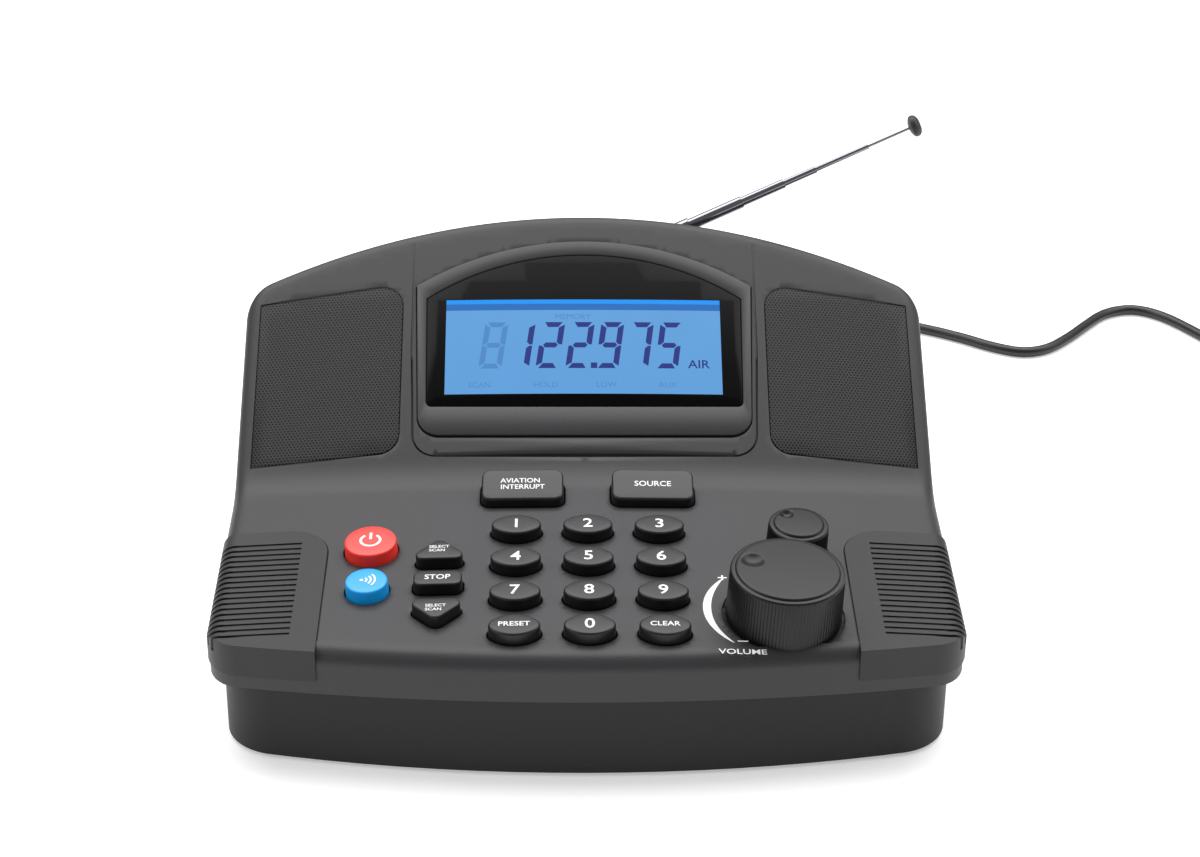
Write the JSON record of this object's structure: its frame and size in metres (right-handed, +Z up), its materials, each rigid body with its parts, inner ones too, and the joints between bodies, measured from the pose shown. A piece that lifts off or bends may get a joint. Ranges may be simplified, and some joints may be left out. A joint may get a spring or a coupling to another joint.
{
  "type": "desktop airband scanner radio",
  "caption": "Desktop airband receiver with sloped keypad deck, backlit display, twin speakers, knobs, telescopic antenna and power cord.",
  "frame": {"origin": "centre of the radio's footprint on the surface it stands on, without the cord", "axes": "+X to the user's right, +Y from the front skirt to the rear wall, +Z up"},
  "size_m": [0.5065, 0.4357, 0.1541],
  "materials": {
    "shell": "fine satin charcoal plastic",
    "grip": "ribbed charcoal plastic",
    "dark": "black plastic",
    "key": "matte black keys with white legends",
    "red": "red moulded button",
    "blue": "blue moulded button",
    "lens": "glossy black window",
    "lcd": "blue backlit liquid crystal",
    "chrome": "polished chrome tube",
    "steel": "plain steel",
    "board": "green circuit board",
    "rubber": "black rubber",
    "mesh": "black perforated sheet",
    "brass": "plated blades"
  },
  "bodies": {
    "case": {"top_shell": "shell", "base_shell": "grip", "grip_left": "grip", "grip_right": "grip", "feet": "rubber", "battery_cover": "grip", "batteries": "steel", "case_screws": "steel", "display_bezel": "shell", "display_lens": "lens", "lcd_glass": "lcd", "display_board": "board", "speaker_grille_left": "mesh", "speaker_grille_right": "mesh", "speaker_left": "dark", "speaker_right": "dark", "volume_pot": "steel", "squelch_pot": "steel", "keypad_board": "board", "main_board": "board", "antenna_mount": "dark", "dc_jack": "dark", "aux_jack": "dark", "dc_plug": "rubber", "power_cord": "rubber", "cord_coil": "rubber", "wall_adapter": "dark", "adapter_pins": "brass"},
    "key_1": {"key_1": "key"},
    "key_2": {"key_2": "key"},
    "key_3": {"key_3": "key"},
    "key_4": {"key_4": "key"},
    "key_5": {"key_5": "key"},
    "key_6": {"key_6": "key"},
    "key_7": {"key_7": "key"},
    "key_8": {"key_8": "key"},
    "key_9": {"key_9": "key"},
    "key_preset": {"key_preset": "key"},
    "key_0": {"key_0": "key"},
    "key_clear": {"key_clear": "key"},
    "key_scan_up": {"key_scan_up": "key"},
    "key_stop": {"key_stop": "key"},
    "key_scan_down": {"key_scan_down": "key"},
    "key_interrupt": {"key_interrupt": "key"},
    "key_source": {"key_source": "key"},
    "power_button": {"power_button": "red"},
    "wireless_button": {"wireless_button": "blue"},
    "volume_knob": {"volume_knob": "dark", "volume_shaft": "steel"},
    "squelch_knob": {"squelch_knob": "dark", "squelch_shaft": "steel"},
    "antenna_swivel": {"antenna_swivel": "dark"},
    "antenna_base": {"antenna_base": "chrome"},
    "antenna_tube_1": {"antenna_tube_1": "chrome"},
    "antenna_tube_2": {"antenna_tube_2": "chrome"},
    "antenna_tube_3": {"antenna_tube_3": "chrome"},
    "antenna_tube_4": {"antenna_tube_4": "chrome"},
    "antenna_tube_5": {"antenna_tube_5": "chrome", "antenna_tip": "dark"}
  },
  "joints": [
    {"name": "key_1_press", "type": "slide", "parent": "case", "child": "key_1", "axis": [0.0137, 0.0837, -0.9964], "range_m": [0, 0.0012], "stiffness_N_per_m": 250},
    {"name": "key_2_press", "type": "slide", "parent": "case", "child": "key_2", "axis": [-0.0003, 0.0837, -0.9965], "range_m": [0, 0.0012], "stiffness_N_per_m": 250},
    {"name": "key_3_press", "type": "slide", "parent": "case", "child": "key_3", "axis": [-0.0142, 0.0837, -0.9964], "range_m": [0, 0.0012], "stiffness_N_per_m": 250},
    {"name": "key_4_press", "type": "slide", "parent": "case", "child": "key_4", "axis": [0.0137, 0.0837, -0.9964], "range_m": [0, 0.0012], "stiffness_N_per_m": 250},
    {"name": "key_5_press", "type": "slide", "parent": "case", "child": "key_5", "axis": [-0.0003, 0.0837, -0.9965], "range_m": [0, 0.0012], "stiffness_N_per_m": 250},
    {"name": "key_6_press", "type": "slide", "parent": "case", "child": "key_6", "axis": [-0.0142, 0.0837, -0.9964], "range_m": [0, 0.0012], "stiffness_N_per_m": 250},
    {"name": "key_7_press", "type": "slide", "parent": "case", "child": "key_7", "axis": [0.0137, 0.0837, -0.9964], "range_m": [0, 0.0012], "stiffness_N_per_m": 250},
    {"name": "key_8_press", "type": "slide", "parent": "case", "child": "key_8", "axis": [-0.0003, 0.0837, -0.9965], "range_m": [0, 0.0012], "stiffness_N_per_m": 250},
    {"name": "key_9_press", "type": "slide", "parent": "case", "child": "key_9", "axis": [-0.0142, 0.0837, -0.9964], "range_m": [0, 0.0012], "stiffness_N_per_m": 250},
    {"name": "key_preset_press", "type": "slide", "parent": "case", "child": "key_preset", "axis": [0.0137, 0.0837, -0.9964], "range_m": [0, 0.0012], "stiffness_N_per_m": 250},
    {"name": "key_0_press", "type": "slide", "parent": "case", "child": "key_0", "axis": [-0.0003, 0.0837, -0.9965], "range_m": [0, 0.0012], "stiffness_N_per_m": 250},
    {"name": "key_clear_press", "type": "slide", "parent": "case", "child": "key_clear", "axis": [-0.0142, 0.0837, -0.9964], "range_m": [0, 0.0012], "stiffness_N_per_m": 250},
    {"name": "key_scan_up_press", "type": "slide", "parent": "case", "child": "key_scan_up", "axis": [0.0283, 0.0836, -0.9961], "range_m": [0, 0.0012], "stiffness_N_per_m": 250},
    {"name": "key_stop_press", "type": "slide", "parent": "case", "child": "key_stop", "axis": [0.0283, 0.0836, -0.9961], "range_m": [0, 0.0012], "stiffness_N_per_m": 250},
    {"name": "key_scan_down_press", "type": "slide", "parent": "case", "child": "key_scan_down", "axis": [0.0283, 0.0836, -0.9961], "range_m": [0, 0.0012], "stiffness_N_per_m": 250},
    {"name": "key_interrupt_press", "type": "slide", "parent": "case", "child": "key_interrupt", "axis": [0.0126, 0.0837, -0.9964], "range_m": [0, 0.0012], "stiffness_N_per_m": 250},
    {"name": "key_source_press", "type": "slide", "parent": "case", "child": "key_source", "axis": [-0.0134, 0.0837, -0.9964], "range_m": [0, 0.0012], "stiffness_N_per_m": 250},
    {"name": "power_button_press", "type": "slide", "parent": "case", "child": "power_button", "axis": [0.0418, 0.0836, -0.9956], "range_m": [0, 0.0012], "stiffness_N_per_m": 250},
    {"name": "wireless_button_press", "type": "slide", "parent": "case", "child": "wireless_button", "axis": [0.0418, 0.0836, -0.9956], "range_m": [0, 0.0012], "stiffness_N_per_m": 250},
    {"name": "volume_turn", "type": "hinge", "parent": "case", "child": "volume_knob", "pos_m": [0.0643, -0.0782, 0.04718], "axis": [0.0367, -0.0836, 0.9958], "range_deg": [-150, 150]},
    {"name": "squelch_turn", "type": "hinge", "parent": "case", "child": "squelch_knob", "pos_m": [0.0712, -0.0425, 0.04991], "axis": [0.0407, -0.0836, 0.9957], "range_deg": [-140, 140]},
    {"name": "antenna_swivel_turn", "type": "hinge", "parent": "case", "child": "antenna_swivel", "pos_m": [-0.0657, 0.0925, 0.058], "axis": [0, 1, 0], "range_deg": [-154.2, 25.8]},
    {"name": "antenna_tilt", "type": "hinge", "parent": "antenna_swivel", "child": "antenna_base", "pos_m": [-0.0657, 0.1005, 0.058], "axis": [-0.4352, 0, 0.9003], "range_deg": [0, 90]},
    {"name": "antenna_slide_1", "type": "slide", "parent": "antenna_base", "child": "antenna_tube_1", "axis": [0.9003, 0, 0.4352], "range_m": [-0.0208, 0.07]},
    {"name": "antenna_slide_2", "type": "slide", "parent": "antenna_tube_1", "child": "antenna_tube_2", "axis": [0.9003, 0, 0.4352], "range_m": [-0.0164, 0.07]},
    {"name": "antenna_slide_3", "type": "slide", "parent": "antenna_tube_2", "child": "antenna_tube_3", "axis": [0.9003, 0, 0.4352], "range_m": [-0.0123, 0.068]},
    {"name": "antenna_slide_4", "type": "slide", "parent": "antenna_tube_3", "child": "antenna_tube_4", "axis": [0.9003, 0, 0.4352], "range_m": [-0.0205, 0.052]},
    {"name": "antenna_slide_5", "type": "slide", "parent": "antenna_tube_4", "child": "antenna_tube_5", "axis": [0.9003, 0, 0.4352], "range_m": [-0.0155, 0.05]}
  ]
}
